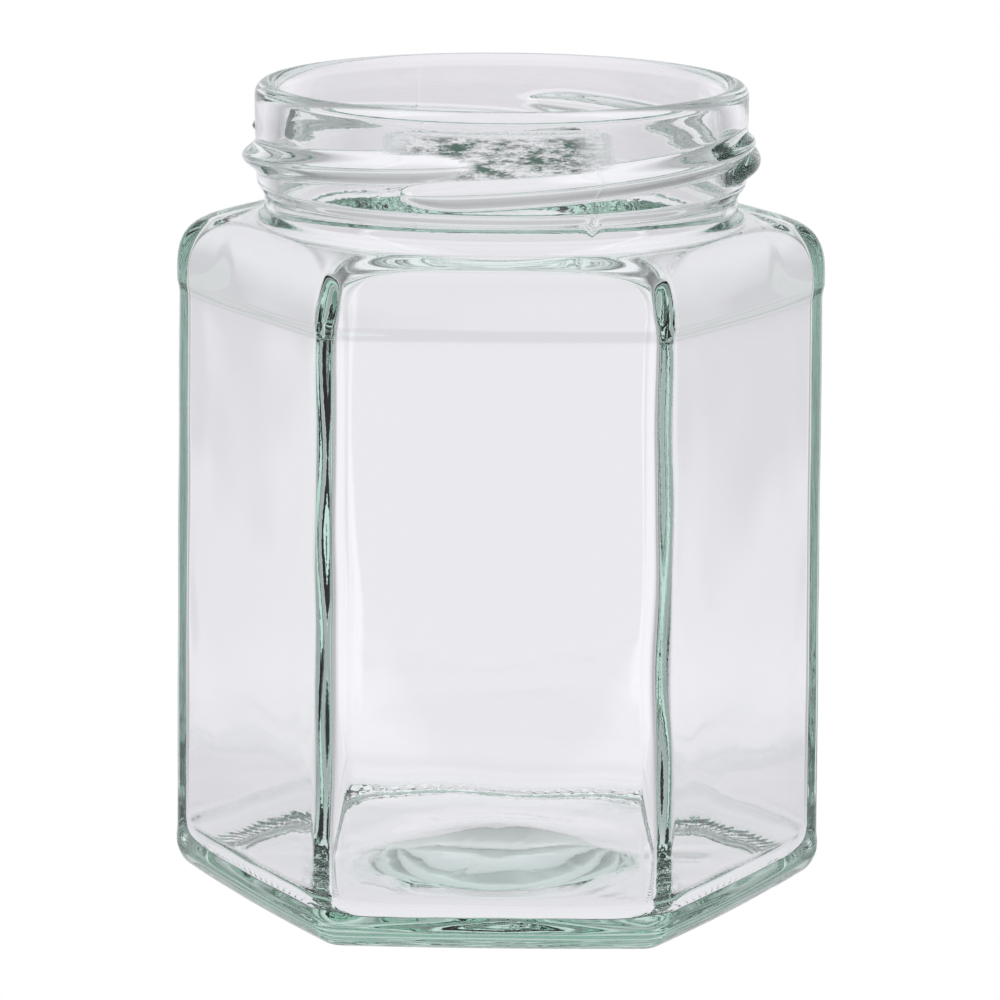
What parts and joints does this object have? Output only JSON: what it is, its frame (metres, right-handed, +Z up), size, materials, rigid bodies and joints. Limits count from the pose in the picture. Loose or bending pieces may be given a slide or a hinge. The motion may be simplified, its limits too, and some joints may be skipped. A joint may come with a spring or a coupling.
{
  "type": "hexagonal glass jar",
  "caption": "Empty hexagonal clear glass food jar with rounded shoulder, waisted neck, rounded lip and helical lugs for a twist-off lid.",
  "frame": {"origin": "centre of the base, on the plane of the ring that the jar stands on", "axes": "+Z up along the jar's axis, X through two opposite corners of the hexagon, Y through the middle of two opposite panels"},
  "size_m": [0.0796, 0.071, 0.0985],
  "materials": {
    "clear_glass": "polished, faint green tint in thick sections"
  },
  "bodies": {
    "root": {"jar": "clear_glass"}
  },
  "joints": []
}
